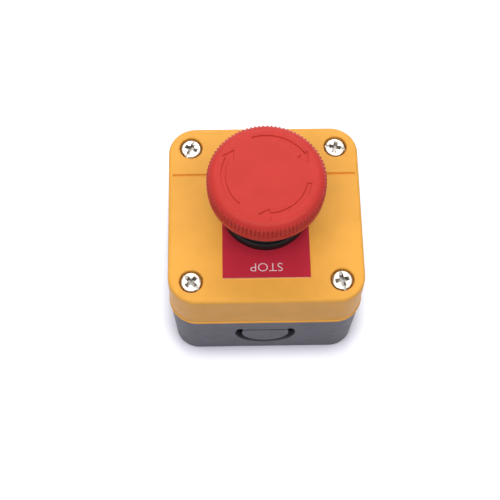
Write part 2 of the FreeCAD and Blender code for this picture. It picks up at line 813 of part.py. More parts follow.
def make_wire_clamps(side):
    high = z_block + strip_level
    x = side * pin_x
    half_length = (block_end - terminal_start) / 2 - clamp_end_gap
    clamps = []
    for end in (-1, 1):
        y = end * terminal_y
        plate = block((x - clamp_width / 2, x + clamp_width / 2), (y - half_length, y + half_length),
                      (high - clamp_thickness, high))
        hole = cylinder(terminal_screw_diameter + 2 * thread_clearance, high - clamp_thickness - cut_over,
                        high + cut_over, x, y)
        clamps.append(plate.cut(hole))
    return Part.makeCompound(clamps)


def make_parts():
    parts = {
        "base": make_base(),
        "cover": make_cover(),
        "cover_gasket": make_cover_gasket(),
        "cover_screws": make_cover_screws(),
        "label_plate": make_label_plate(),
        "bezel_bushing": make_bezel_bushing(),
        "bezel_gasket": make_bezel_gasket(),
        "lock_nut": make_lock_nut(),
        "mushroom_cap": make_mushroom_cap(),
        "plunger_shaft": make_plunger_shaft(),
        "retaining_clip": make_retaining_clip(),
        "latch_pin_right": make_latch_pin(1),
        "latch_pin_left": make_latch_pin(-1),
        "latch_spring": make_latch_spring(),
        "return_spring": make_return_spring(),
        "push_plate": make_push_plate(),
        "contact_holder": make_contact_holder(),
        "holder_screw": make_holder_screw(),
        "block_screws": make_block_screws(),
    }
    for name, side, closed in (("nc", 1, True), ("no", -1, False)):
        parts[name + "_housing"] = make_housing(side)
        parts[name + "_side_plate"] = make_side_plate(side)
        parts[name + "_contacts"] = make_contacts(side, closed)
        parts[name + "_bridge"] = make_bridge(side, closed)
        parts[name + "_plunger"] = make_contact_pin(side, closed)
        parts[name + "_spring"] = make_contact_spring(side, closed)
        parts[name + "_terminal_screws"] = make_terminal_screws(side)
        parts[name + "_wire_clamps"] = make_wire_clamps(side)
    return parts


os.makedirs("parts", exist_ok=True)
for node, shape in make_parts().items():
    shape.exportStep("parts/" + node + ".step")
    print(node, len(shape.Solids), round(shape.Volume, 1), shape.isValid())
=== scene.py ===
# %% [markdown]
# # Emergency stop push button
# The object is a small box, yellow above and grey below, with a red mushroom head on top. A CAD
# model holds its sizes, its joints and the mechanism inside. This lesson loads that model as a
# fixed frame, makes a finished mesh for every piece that shows, and gives each piece the surface
# that the real one has.

# %% Load the frame
import json
import math

import bmesh
import bpy
from mathutils import Matrix, Vector


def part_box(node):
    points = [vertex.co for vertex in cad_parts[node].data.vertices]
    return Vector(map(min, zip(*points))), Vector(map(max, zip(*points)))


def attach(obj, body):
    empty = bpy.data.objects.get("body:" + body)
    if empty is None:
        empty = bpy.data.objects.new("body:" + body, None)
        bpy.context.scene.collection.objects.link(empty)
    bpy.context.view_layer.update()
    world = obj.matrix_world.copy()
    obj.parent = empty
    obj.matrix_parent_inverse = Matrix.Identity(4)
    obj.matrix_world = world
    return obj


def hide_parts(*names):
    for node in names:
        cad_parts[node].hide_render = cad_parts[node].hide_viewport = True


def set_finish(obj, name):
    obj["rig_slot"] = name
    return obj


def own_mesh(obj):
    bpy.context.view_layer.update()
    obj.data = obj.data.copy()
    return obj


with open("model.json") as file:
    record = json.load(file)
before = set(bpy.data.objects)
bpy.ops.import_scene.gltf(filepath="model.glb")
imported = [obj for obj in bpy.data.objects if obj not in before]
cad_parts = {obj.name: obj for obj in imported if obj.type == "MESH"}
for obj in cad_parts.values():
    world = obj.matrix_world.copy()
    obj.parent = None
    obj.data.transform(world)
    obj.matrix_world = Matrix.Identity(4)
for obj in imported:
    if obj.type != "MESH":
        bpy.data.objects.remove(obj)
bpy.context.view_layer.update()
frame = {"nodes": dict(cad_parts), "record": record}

MM = 0.001


def in_mm(*sizes):
    return [round(size / MM, 2) for size in sizes]


# %% [markdown]
# ## Heights and widths
# Every new piece has to sit where its CAD node sits. So the levels are read from the nodes' own
# boxes: the foot, the joint between cover and base, the cover's top, the collar's top and the
# cap's crown. Small details that a box can't tell, such as a fillet, are written once as named
# sizes.

# %% Levels read from the frame
cover_low, cover_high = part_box("cover")
base_low, base_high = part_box("base")
label_low, label_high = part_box("label_plate")
collar_low, collar_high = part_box("bezel_bushing")
cap_low, cap_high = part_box("mushroom_cap")
z_foot = base_low.z
z_parting = cover_low.z
z_top = cover_high.z
z_label = label_high.z
z_neck = collar_high.z
z_crown = cap_high.z
half_box = cover_high.x
cap_radius = cap_high.x
print("foot, parting line, cover top, crown in mm:", in_mm(z_foot, z_parting, z_top, z_crown))
print("the base's tongue reaches", in_mm(base_high.z - z_parting)[0], "mm into the cover")

# %% [markdown]
# ## A small set of tools
# Most of this object was turned or moulded, so a few helpers go a long way. A wire outline is
# drawn in the XZ plane, its corners are rounded with a vertex bevel, and a spin turns it into a
# round piece. A moulded box starts as one face with bevelled corners, which is raised and inset.
# Holes need no boolean: a flat wall is the fill between all the loops that lie in its plane.

# %% Between bmesh, mesh and object
MERGE_DISTANCE = 0.002 * MM


def merge(bm):
    bmesh.ops.remove_doubles(bm, verts=bm.verts[:], dist=MERGE_DISTANCE)


def outwards(bm):
    bmesh.ops.recalc_face_normals(bm, faces=bm.faces[:])
    return bm


def written(name, bm):
    """Writes a bmesh into a new mesh and lets the bmesh go."""
    mesh = bpy.data.meshes.new(name)
    bm.to_mesh(mesh)
    bm.free()
    return mesh


def placed(name, data):
    """Puts a new object with this data into the scene, at the origin."""
    thing = bpy.data.objects.new(name, data)
    bpy.context.scene.collection.objects.link(thing)
    return thing


def read_back(thing):
    """A bmesh of an object as its modifiers or its letters make it."""
    graph = bpy.context.evaluated_depsgraph_get()
    mesh = bpy.data.meshes.new_from_object(thing.evaluated_get(graph))
    bm = bmesh.new()
    bm.from_mesh(mesh)
    bpy.data.meshes.remove(mesh)
    return bm


def joined(shapes):
    """One bmesh that holds all the shapes, with the points that they share merged."""
    whole = bmesh.new()
    for shape in shapes:
        carrier = written("carrier", shape)
        whole.from_mesh(carrier)
        bpy.data.meshes.remove(carrier)
    merge(whole)
    return whole


# %% Move and turn
def moved(bm, x=0.0, y=0.0, z=0.0):
    bmesh.ops.translate(bm, vec=(x, y, z), verts=bm.verts[:])
    return bm


def turned(bm, matrix):
    bmesh.ops.transform(bm, matrix=matrix, verts=bm.verts[:])
    return bm


def about(axis, angle):
    return Matrix.Rotation(angle, 4, axis)


def polar(radius, angle, z):
    return Vector((radius * math.cos(angle), radius * math.sin(angle), z))


# %% Outlines and round pieces
ROUND_STEPS = 8


def bevel(bm, geometry, size, steps, kind):
    bmesh.ops.bevel(bm, geom=geometry, offset=size, offset_type="OFFSET", segments=steps,
                    profile=0.5, affect=kind, material=-1)


def outline(points, closed=False):
    """Wire in the XZ plane through points of (radius, height, rounding)."""
    bm = bmesh.new()
    verts = [bm.verts.new((radius, 0, height)) for radius, height, rounding in points]
    for pair in zip(verts, verts[1:]):
        bm.edges.new(pair)
    if closed:
        bm.edges.new((verts[-1], verts[0]))
    for vert, (radius, height, rounding) in zip(verts, points):
        if rounding:
            bevel(bm, [vert], rounding, ROUND_STEPS, "VERTICES")
    return bm


def spin(bm, geometry, angle, steps, rise=0.0):
    """Turns geometry about Z and lifts it at each step. One full turn is closed."""
    return bmesh.ops.spin(bm, geom=geometry, cent=(0, 0, 0), axis=(0, 0, 1), dvec=(0, 0, rise),
                          angle=angle, steps=steps, use_merge=angle == math.tau,
                          use_duplicate=False)


def spun(points, steps, closed=False, sweep=math.tau):
    """Turns an outline about Z."""
    bm = outline(points, closed)
    spin(bm, bm.verts[:] + bm.edges[:], sweep, steps)
    return bm


# %% Flat faces and walls
CORNER_STEPS = 14


def slab(width, depth, corner, z):
    """A new bmesh with one flat face that has round corners."""
    bm = bmesh.new()
    bmesh.ops.create_grid(bm, x_segments=1, y_segments=1, size=0.5)
    bmesh.ops.scale(bm, vec=(width, depth, 1), verts=bm.verts[:])
    moved(bm, z=z)
    bevel(bm, bm.verts[:], corner, CORNER_STEPS, "VERTICES")
    return bm, bm.faces[:][0]


def inset(bm, face, width, depth):
    """Draws the edge of a face in and moves the face along its normal."""
    bmesh.ops.inset_region(bm, faces=[face], use_boundary=True, use_even_offset=True,
                           thickness=width, depth=depth)


def drop_faces(bm, *faces):
    bmesh.ops.delete(bm, geom=faces, context="FACES_ONLY")


def picked(parts, kind):
    return [part for part in parts if isinstance(part, kind)]


def raise_face(bm, face, height):
    """Moves a face up or down and leaves a wall behind it."""
    made = bmesh.ops.extrude_face_region(bm, geom=[face])
    top = picked(made["geom"], bmesh.types.BMFace)[0]
    bmesh.ops.translate(bm, vec=(0, 0, height), verts=top.verts[:])
    drop_faces(bm, face)
    return top


def raise_edges(bm, edges, height):
    """Pulls a wall up from edges and returns the points of its upper rim."""
    made = bmesh.ops.extrude_edge_only(bm, edges=edges)
    rim = picked(made["geom"], bmesh.types.BMVert)
    bmesh.ops.translate(bm, vec=(0, 0, height), verts=rim)
    return rim


# %% Openings and flat fills
RIM_STEPS = 2
IN_PLANE = 0.01 * MM


def face_height(face):
    return face.calc_center_median().z


def open_edges(bm):
    return [edge for edge in bm.edges if edge.is_boundary]


def close_openings(bm):
    return bmesh.ops.holes_fill(bm, edges=open_edges(bm), sides=0)["faces"]


def soften_rim(bm, size):
    """Rounds the open rim of a wall inwards."""
    lid = close_openings(bm)[0]
    centre = lid.calc_center_median()
    bevel(bm, lid.edges[:], size, RIM_STEPS, "EDGES")
    drop_faces(bm, min(bm.faces, key=lambda face: (face.calc_center_median() - centre).length))


def fill_plane(bm, point, normal):
    """Closes a flat wall between all the open loops that lie in its plane."""
    def lies_in(vert):
        return abs((vert.co - point).dot(normal)) < IN_PLANE
    edges = [edge for edge in bm.edges
             if len(edge.link_faces) < 2 and all(lies_in(vert) for vert in edge.verts)]
    bmesh.ops.triangle_fill(bm, use_beauty=True, use_dissolve=False, edges=edges, normal=normal)


def fill_levels(bm, *levels):
    for z in levels:
        fill_plane(bm, Vector((0, 0, z)), Vector((0, 0, 1)))


# %% From bmesh to a piece on its body
pieces = {}


def make_piece(name, bm, body, slot, stands_for=(), sharp_degrees=32.0):
    """Gives a mesh flat-looking flats and smooth rounds, and puts it on its CAD body."""
    mesh = written(name, outwards(bm))
    mesh.shade_smooth()
    mesh.set_sharp_from_angle(angle=math.radians(sharp_degrees))
    piece = placed(name, mesh)
    weighted = piece.modifiers.new("flats stay flat", "WEIGHTED_NORMAL")
    weighted.keep_sharp = True
    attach(piece, body)
    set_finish(piece, slot)
    if stands_for:
        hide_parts(*stands_for)
    pieces[name] = piece
    print(name, "has", len(mesh.polygons), "faces")
    return piece


# %% [markdown]
# ## The yellow cover
# The cover is one moulding: a plain wall with a small lip at the parting line, a soft edge round
# the top, four sunk seats for the screws and a shallow groove across the top. It could be a cube
# with booleans, but those leave poor edges. Here the outer wall is raised from one face, each
# screw seat is a spun tube that runs on into its post, and the top is filled between the outlines
# of all of them.

# %% Cover sizes
corner_radius = 10.0 * MM
lip_proud = 0.3 * MM
lip_height = 1.2 * MM
seam = 0.25 * MM                # soft edge on both sides of the parting line
top_fillet = 1.2 * MM
wall = 2.4 * MM
cover_thickness = 2.6 * MM
panel_hole = 11.15 * MM
tongue = 1.0 * MM
tongue_height = 2.0 * MM
tongue_gap = 0.15 * MM
seal_height = 1.0 * MM
z_panel = z_top - cover_thickness
BORE_STEPS = 96
print("cover's inner height in mm:", in_mm(z_panel - z_parting)[0])


# %% Cover walls
def box_slab(margin, z):
    """The outline of the box, drawn in by a margin."""
    side = 2 * (half_box - margin)
    return slab(side, side, corner_radius - margin, z)


def cover_wall():
    bm, face = box_slab(0, z_parting)
    face = raise_face(bm, face, lip_height - lip_proud)
    inset(bm, face, lip_proud, lip_proud)
    face = raise_face(bm, face, z_top - z_parting - lip_height)
    bevel(bm, face.edges[:], top_fillet, ROUND_STEPS, "EDGES")
    soften_rim(bm, seam)
    drop_faces(bm, max(bm.faces, key=face_height))
    return bm


def cover_inside():
    """Hollow with a step at its mouth, in which the base's tongue and the seal sit."""
    step = tongue + tongue_gap
    step_height = tongue_height + seal_height
    bm, face = box_slab(lip_proud + wall - step, z_parting)
    face = raise_face(bm, face, step_height)
    inset(bm, face, step, 0)
    drop_faces(bm, raise_face(bm, face, z_panel - z_parting - step_height))
    return bm


# %% Screw seats
screw_inset = 8.25 * MM
screw_seat_radius = 4.1 * MM
screw_seat_depth = 2.6 * MM
seat_edge = 0.25 * MM
shank_hole = 2.2 * MM
post_radius = 4.7 * MM
screw_place = half_box - screw_inset
screw_places = [(sx * screw_place, sy * screw_place) for sx in (-1, 1) for sy in (-1, 1)]
screw_seat = z_top - screw_seat_depth
SEAT_STEPS = 48


def screw_post(x, y):
    """Screw seat, shank hole and post in one spun wall."""
    tube = spun([(screw_seat_radius + seat_edge, z_top, 0),
                 (screw_seat_radius, z_top - seat_edge, 0),
                 (screw_seat_radius, screw_seat, 0), (shank_hole, screw_seat, 0),
                 (shank_hole, z_parting, 0), (post_radius, z_parting, 0),
                 (post_radius, z_panel, 0)], SEAT_STEPS)
    return moved(tube, x, y)


print("screws are", in_mm(2 * screw_place)[0], "mm apart")

# %% Groove and put together
groove_y = 14.8 * MM
groove_width = 1.1 * MM
groove_depth = 0.7 * MM
groove_end_margin = 1.5 * MM
groove_length = 2 * (half_box - lip_proud - groove_end_margin)


def sunk_line(length, width, depth):
    """Groove along X with its rim at z = 0 and a floor half as wide as the rim."""
    bm, face = slab(length, width / 2, width / 5, -depth)
    for vert in raise_edges(bm, face.edges[:], depth):
        vert.co.y += math.copysign(width / 4, vert.co.y)
    return bm


top_groove = moved(sunk_line(groove_length, groove_width, groove_depth), y=groove_y, z=z_top)
barrel_hole = spun([(panel_hole, z_top, 0), (panel_hole, z_panel, 0)], BORE_STEPS)
cover_mesh = joined([cover_wall(), cover_inside(), top_groove, barrel_hole]
                    + [screw_post(x, y) for x, y in screw_places])
fill_levels(cover_mesh, z_parting, z_panel, z_top)
make_piece("cover_shell", cover_mesh, "root", "yellow_shell", ["cover"])

# %% [markdown]
# ## The grey base
# The base is the other half of the box. Its walls lean in a little towards the foot, so that it
# leaves its mould, and two of them carry a knock-out for a cable: a disc that a slot cuts nearly
# free, and that folds out along a straight groove at its top. The slot's walls and its half-round
# ends are spun lying flat, stood up against the leaning wall, and the wall is filled round them,
# outside and inside.

# %% Base walls
base_draft = 1.2 * MM
foot_chamfer = 0.8 * MM
floor_thickness = 2.5 * MM
wall_lean = math.atan(base_draft / z_parting)
print("base walls lean by", round(math.degrees(wall_lean), 2), "degrees")


def drawn_in(z):
    """How far the leaning wall is drawn in at a height."""
    return base_draft * (1 - z / z_parting)


def base_wall():
    bm, face = box_slab(lip_proud, z_parting)
    bmesh.ops.reverse_faces(bm, faces=[face])
    inset(bm, face, drawn_in(foot_chamfer), z_parting - foot_chamfer)
    inset(bm, face, foot_chamfer, foot_chamfer)
    soften_rim(bm, seam)
    drop_faces(bm, min(bm.faces, key=face_height))
    return bm


def base_inside():
    bm, face = box_slab(lip_proud + wall, z_parting + tongue_height)
    bmesh.ops.reverse_faces(bm, faces=[face])
    face = raise_face(bm, face, -tongue_height)
    inset(bm, face, drawn_in(floor_thickness), z_parting - floor_thickness)
    drop_faces(bm, face)
    return bm


def base_tongue():
    bm, face = box_slab(lip_proud + wall - tongue, z_parting)
    drop_faces(bm, raise_face(bm, face, tongue_height))
    return bm


# %% Base posts and mounting holes
pilot_radius = 1.98 * MM
pilot_end = 2 * floor_thickness
mount_margin = 9.0 * MM
mount_radius = 2.25 * MM
pad_radius = 4.5 * MM
pad_height = 0.8 * MM
mount_y = half_box - mount_margin


def base_post(x, y):
    """Post with a blind pilot hole. It starts inside the floor, as the corner beside it leans."""
    post = spun([(post_radius, floor_thickness / 2, 0), (post_radius, z_parting, 0),
                 (pilot_radius, z_parting, 0), (pilot_radius, pilot_end, 0)], SEAT_STEPS)
    close_openings(post)
    return moved(post, x, y)


def mount_hole(y):
    """Screw hole through the floor, with a pad round it."""
    pad_top = floor_thickness + pad_height
    hole = spun([(mount_radius, z_foot, 0), (mount_radius, pad_top, 0),
                 (pad_radius, pad_top, 0), (pad_radius, floor_thickness, 0)], SEAT_STEPS)
    return moved(hole, y=y)


print("mounting holes are", in_mm(2 * mount_y)[0], "mm apart")

# %% Knock-out slot
knockout_radius = 9.6 * MM
knockout_slot = 2.4 * MM
knockout_edge = 0.15 * MM
knockout_depth = wall * math.cos(wall_lean)
knockout_step = 3               # degrees
knockout_sweep = 222            # degrees
END_STEPS = 12


def slot_side(radius, outside):
    """One side of the slot. It has a small chamfer at the wall's face, which is at z = 0."""
    return [(radius + outside * knockout_edge, 0, 0), (radius, -knockout_edge, 0),
            (radius, -knockout_depth, 0)]


def slot_wall(radius, outside, first):
    steps = knockout_sweep // knockout_step
    arc = spun(slot_side(radius, outside), steps, sweep=math.radians(knockout_sweep))
    return turned(arc, about("Z", first))


def round_end(angle, turn):
    """Half-round end of the slot."""
    end = spun(slot_side(knockout_slot / 2, 1), END_STEPS, sweep=math.pi)
    turned(end, about("Z", angle + turn))
    return moved(end, *polar(knockout_radius, angle, 0))


print("knock-out is", in_mm(2 * knockout_radius + knockout_slot)[0], "mm across")

# %% Knock-out put up
fold_width = 1.0 * MM
fold_depth = 0.4 * MM
fold_end_gap = 3 * knockout_edge
knockout_below = 12.0 * MM      # from the parting line to its centre
knockout_height = z_parting - knockout_below


def knockout(facing):
    """Slot and groove: first drawn flat, then stood up against a leaning end wall."""
    outer = knockout_radius + knockout_slot / 2
    inner = knockout_radius - knockout_slot / 2
    first = math.radians(-90 - knockout_sweep / 2)
    last = math.radians(-90 + knockout_sweep / 2)
    tip = polar(knockout_radius, last, 0)
    fold = sunk_line(2 * tip.x - knockout_slot - fold_end_gap, fold_width, fold_depth)
    cuts = joined([slot_wall(outer, 1, first), slot_wall(inner, -1, first), round_end(last, 0),
                   round_end(first, math.pi), moved(fold, y=tip.y)])
    reach = half_box - lip_proud - drawn_in(knockout_height)
    place = Matrix.Translation((0, -reach, knockout_height))
    return turned(cuts, about("Z", facing) @ place @ about("X", math.pi / 2 + wall_lean))


# %% Base put together
end_planes = []


def without_ends(bm):
    """Takes out the two flat walls at the Y ends and notes their planes."""
    ends = sorted(bm.faces, key=lambda face: abs(face.normal.y) * face.calc_area())[-2:]
    end_planes.extend((face.calc_center_median(), face.normal.copy()) for face in ends)
    drop_faces(bm, *ends)
    return bm


base_mesh = joined([without_ends(base_wall()), without_ends(base_inside()), base_tongue(),
                    knockout(0), knockout(math.pi), mount_hole(mount_y), mount_hole(-mount_y)]
                   + [base_post(x, y) for x, y in screw_places])
for point, normal in end_planes:
    fill_plane(base_mesh, point, normal)
fill_levels(base_mesh, z_foot, floor_thickness, z_parting, z_parting + tongue_height)
make_piece("base_shell", base_mesh, "root", "grey_shell", ["base"])

# %% [markdown]
# ## The cover screws
# Four plated screws sit in the seats, each with a cross recess and a slot that runs out to the
# rim, turned as the fitter left it. A cross and a slot cut each other, which a fill can't give,
# so here three simple cutters and a boolean are the better way.

# %% Screw blank
screw_head_radius = 3.6 * MM
screw_head_height = 2.3 * MM
screw_head_crown = 0.75 * MM
screw_head_dome = 0.1 * MM
screw_head_edge = 0.15 * MM
screw_flat_radius = 0.6 * screw_head_radius
screw_shank_radius = 1.95 * MM
screw_shank_length = 26.0 * MM
screw_tip = 0.6 * MM
SCREW_STEPS = 64


def screw_blank():
    """Screw without its recess, with the underside of its head at z = 0."""
    top = screw_head_height
    end = -screw_shank_length
    bm = spun([(screw_flat_radius, top, 0),
               (screw_head_radius, top - screw_head_dome, screw_head_crown),
               (screw_head_radius, 0, screw_head_edge), (screw_shank_radius, 0, 0),
               (screw_shank_radius, end, screw_tip), (screw_shank_radius / 2, end, 0)],
              SCREW_STEPS)
    close_openings(bm)
    return bm


print("screw is", in_mm(screw_head_height + screw_shank_length)[0], "mm long")


# %% Cutters
def cutter(length, width, depth, top, taper):
    """Bar that narrows towards its lower end."""
    bm = bmesh.new()
    bmesh.ops.create_cube(bm, size=1.0, matrix=Matrix.Diagonal((length, width, depth, 1)))
    low = [vert for vert in bm.verts if vert.co.z < 0]
    bmesh.ops.scale(bm, vec=(taper, taper, 1), verts=low)
    return moved(bm, z=top - depth / 2)


def carved(blank, tools):
    """Cuts the tools out of the blank and returns a bmesh."""
    body, *cutters = [placed("scratch", written("scratch", outwards(bm)))
                      for bm in [blank] + tools]
    for tool in cutters:
        cut = body.modifiers.new("cut", "BOOLEAN")
        cut.operation = "DIFFERENCE"
        cut.solver = "EXACT"
        cut.object = tool
    result = read_back(body)
    for used in cutters + [body]:
        bpy.data.objects.remove(used)
    return result


# %% Screws put in place
slot_width = 1.0 * MM
slot_depth = 0.75 * MM
slot_length = 3 * screw_head_radius
cross_span = 4.9 * MM
cross_width = 1.55 * MM
cross_depth = 1.9 * MM
cross_taper = 0.6
over_cut = 0.1 * MM             # cutters stand this far above the head
screw_edge = 0.06 * MM
screw_edge_degrees = 40
screw_turns = [math.radians(angle) for angle in (133, 65, 103, 168)]


def screw(turn):
    top = screw_head_height + over_cut
    cross = [turned(cutter(cross_span, cross_width, cross_depth, top, cross_taper),
                    about("Z", arm)) for arm in (0, math.pi / 2)]
    slot = cutter(slot_length, slot_width, slot_depth + over_cut, top, 1.0)
    return turned(carved(screw_blank(), cross + [slot]), about("Z", turn))


screw_mesh = joined([moved(screw(turn), x, y, screw_seat)
                     for (x, y), turn in zip(screw_places, screw_turns)])
screws = make_piece("cover_screw_heads", screw_mesh, "root", "plated_steel", ["cover_screws"])
softened = screws.modifiers.new("soft edges", "BEVEL")
softened.width = screw_edge
softened.segments = RIM_STEPS
softened.limit_method = "ANGLE"
softened.angle_limit = math.radians(screw_edge_degrees)
screws.modifiers.move(1, 0)     # before the normals are weighted

# %% [markdown]
# ## The label
# A thin red plate lies under the collar, with one word at its front edge that reads from the far
# side. The plate is a rounded face with a hole, raised and given a soft edge. The word is a text
# object made into a mesh, which lies on the plate as a thin film, as printed ink would.

# %% Label plate
label_corner = 0.3 * MM
label_edge = 0.12 * MM
label_centre = (label_low + label_high) / 2
label_size = label_high - label_low
LABEL_EDGE_STEPS = 3


def label_plate():
    bm, face = slab(label_size.x, label_size.y, label_corner, label_low.z)
    top = raise_face(bm, face, label_size.z)
    bevel(bm, top.edges[:], label_edge, LABEL_EDGE_STEPS, "EDGES")
    drop_faces(bm, max(bm.faces, key=face_height))
    return moved(bm, label_centre.x, label_centre.y)


label_hole = spun([(panel_hole, label_high.z, 0), (panel_hole, label_low.z, 0)], BORE_STEPS)
label_mesh = joined([label_plate(), label_hole])
fill_levels(label_mesh, label_low.z, label_high.z)
make_piece("label_sheet", label_mesh, "root", "red_label", ["label_plate"])

# %% Lettering
word_width = 11.0 * MM
word_height = 3.0 * MM
word_from_edge = 3.75 * MM
stroke_change = -0.012          # in letter heights
ink_thickness = 0.03 * MM


def lettering(word):
    """A word as a thin film round the origin, turned to read from the far side."""
    text = bpy.data.curves.new("lettering", "FONT")
    text.body = word
    text.align_x = "CENTER"
    text.align_y = "CENTER"
    text.extrude = 0.5          # any thickness, because the film is scaled below
    text.offset = stroke_change
    holder = placed("lettering_text", text)
    bm = read_back(holder)
    bpy.data.objects.remove(holder)
    low = Vector(min(vert.co[i] for vert in bm.verts) for i in range(3))
    high = Vector(max(vert.co[i] for vert in bm.verts) for i in range(3))
    moved(bm, *(-(low + high) / 2))
    size = high - low
    film = (word_width / size.x, word_height / size.y, ink_thickness / size.z)
    bmesh.ops.scale(bm, vec=film, verts=bm.verts[:])
    merge(bm)
    return turned(bm, about("Z", math.pi))


ink = moved(lettering("STOP"), 0, label_low.y + word_from_edge, label_high.z + ink_thickness / 2)
make_piece("label_ink", ink, "root", "red_label")

# %% [markdown]
# ## The collar
# A black collar clamps the label to the cover. Its wide ring carries a neck, in which the head
# slides, and a barrel that goes down through the cover. It is a turned piece, so one outline and
# one spin make it whole, inside and out.

# %% Collar sizes
collar_radius = 15.0 * MM
collar_height = 3.2 * MM
collar_edge = 1.0 * MM
collar_foot_edge = 0.15 * MM
collar_seal = 13.1 * MM
neck_foot = 13.2 * MM
neck_top = 12.4 * MM
neck_bore = 9.9 * MM
neck_depth = 7.8 * MM
neck_edge = 0.7 * MM
neck_mouth_edge = 0.4 * MM
neck_fillet = 0.5 * MM
barrel_radius = 10.9 * MM
barrel_bore = 8.6 * MM
barrel_edge = 0.5 * MM
guide_bore = 5.06 * MM
guide_above_barrel = 10.5 * MM
guide_height = 2.5 * MM
latch_shoulder_height = 1.4 * MM
cone_small = 7.0 * MM
cone_large = 8.82 * MM
z_collar = z_label + collar_height
z_seal = z_label + seal_height
z_neck_floor = z_neck - neck_depth
z_barrel = collar_low.z
z_shoulder = z_barrel + latch_shoulder_height
guide_low = z_barrel + guide_above_barrel
guide_high = guide_low + guide_height
COLLAR_STEPS = 128
print("barrel end, label, collar top, neck top in mm:", in_mm(z_barrel, z_label, z_collar, z_neck))

# %% Collar mesh
collar_mesh = spun([
    (neck_bore, z_neck, neck_mouth_edge), (neck_top, z_neck, neck_edge),
    (neck_foot, z_collar, neck_fillet), (collar_radius, z_collar, collar_edge),
    (collar_radius, z_label, collar_foot_edge), (collar_seal, z_label, 0),
    (collar_seal, z_seal, 0), (barrel_radius, z_seal, 0),
    (barrel_radius, z_barrel, barrel_edge), (barrel_bore, z_barrel, 0),
    (barrel_bore, z_shoulder, 0), (cone_small, z_shoulder, 0), (cone_large, guide_low, 0),
    (guide_bore, guide_low, 0), (guide_bore, guide_high, 0), (barrel_bore, guide_high, 0),
    (barrel_bore, z_neck_floor, 0), (neck_bore, z_neck_floor, 0)], COLLAR_STEPS, closed=True)
merge(collar_mesh)
make_piece("collar_ring", collar_mesh, "root", "black_collar", ["bezel_bushing"])

# %% [markdown]
# ## The mushroom cap
# The cap is what the hand hits. It is turned in form: a flat crown, a round shoulder and a short
# rim, hollow below with a hub in the middle. Two things make it look right. A ring of close teeth
# stands proud of the wall for grip: it comes from a spin with many steps, whose points are then
# drawn out and in from the axis in a regular beat. And three sunk arrows on the crown show which
# way to turn it: each arrow's floor is drawn flat, its edge is raised, and the crown is filled
# round it.

# %% Cap sizes
rim_height = 9.1 * MM
rim_edge = 0.35 * MM
rim_band = 2.3 * MM             # plain band under the teeth
band_inset = 0.25 * MM
shoulder = 3.0 * MM
cap_wall = 2.3 * MM
ceiling_fillet = 1.8 * MM
hub_radius = 9.6 * MM
hub_fillet = 0.6 * MM
hub_edge = 0.5 * MM
socket_radius = 5.0 * MM
rim_teeth = 88
tooth_points = 6
tooth_proud = 0.35 * MM
tooth_depth = 0.6 * MM
tooth_lean = 0.1 * MM
tooth_runout = 0.3 * MM
tooth_start = 0.6               # in heights of the shoulder, from the crown
wall_radius = cap_radius - tooth_proud
cap_bore = cap_radius - cap_wall
z_rim = z_crown - rim_height
z_ceiling = z_crown - cap_wall
z_hub = cap_low.z
print("hub, rim, ceiling, crown in mm:", in_mm(z_hub, z_rim, z_ceiling, z_crown))


# %% Cap body with teeth
def cap_body():
    steps = rim_teeth * tooth_points
    band = cap_radius - band_inset
    teeth_top = z_crown - tooth_start * shoulder
    teeth_foot = z_rim + rim_band
    bm = spun([(wall_radius - shoulder, z_crown, 0), (wall_radius, z_crown, shoulder),
               (wall_radius, teeth_foot + tooth_runout, 0), (band, teeth_foot, 0),
               (band, z_rim, rim_edge), (cap_bore, z_rim, rim_edge),
               (cap_bore, z_ceiling, ceiling_fillet), (hub_radius, z_ceiling, hub_fillet),
               (hub_radius, z_hub, hub_edge), (socket_radius, z_hub, 0)], steps)
    for vert in bm.verts:
        radius = vert.co.xy.length
        on_wall = radius > wall_radius - tooth_proud
        if on_wall and teeth_foot + tooth_runout / 2 < vert.co.z < teeth_top:
            column = round(math.atan2(vert.co.y, vert.co.x) / math.tau * steps) % tooth_points
            gap = tooth_depth * math.cos(math.pi * column / tooth_points) ** 2
            lean = tooth_lean * (vert.co.z - teeth_foot) / (teeth_top - teeth_foot)
            vert.co.xy *= (cap_radius - lean - gap) / radius
    return bm


# %% Ribs under the crown
cap_ribs = 6
rib_thickness = 1.4 * MM
rib_height = 2.6 * MM
rib_bite = 0.5 * MM             # into the hub and the wall
rib_rise = 0.2 * MM             # into the ceiling


def cap_rib(angle):
    """Web under the crown, from the hub to the wall."""
    bm = bmesh.new()
    length = cap_bore - hub_radius + 2 * rib_bite
    centre = ((cap_bore + hub_radius) / 2, 0, z_ceiling - rib_height / 2 + rib_rise)
    bmesh.ops.create_cube(bm, size=1.0, matrix=Matrix.Translation(centre)
                          @ Matrix.Diagonal((length, rib_thickness, rib_height, 1)))
    return turned(bm, about("Z", angle))


# %% Arrows in the crown
arrow_depth = 0.4 * MM
arrow_edge = 0.25 * MM
arrow_inner = 13.6 * MM
arrow_outer = 15.1 * MM
arrow_middle = (arrow_inner + arrow_outer) / 2
barb_inner = 12.2 * MM
barb_outer = 16.2 * MM
arrow_tips = [math.radians(angle) for angle in (18, 138, 258)]
arrow_head = math.radians(14.5)
arrow_length = math.radians(90)
ARROW_STEPS = 24


def arrow(tip):
    """Sunk floor of one clockwise arrow, with its side wall up to the crown."""
    bm = bmesh.new()

    def corner(radius, angle):
        return bm.verts.new(polar(radius, angle, z_crown - arrow_depth))

    barb = tip + arrow_head
    tail = [corner(radius, tip + arrow_length) for radius in (arrow_inner, arrow_outer)]
    made = spin(bm, tail + [bm.edges.new(tail)], arrow_head - arrow_length, ARROW_STEPS)
    inner, outer = sorted(picked(made["geom_last"], bmesh.types.BMVert),
                          key=lambda vert: vert.co.xy.length)
    bm.faces.new([inner, corner(barb_inner, barb), corner(arrow_middle, tip),
                  corner(barb_outer, barb), outer])
    raise_edges(bm, open_edges(bm), arrow_depth)
    return bm


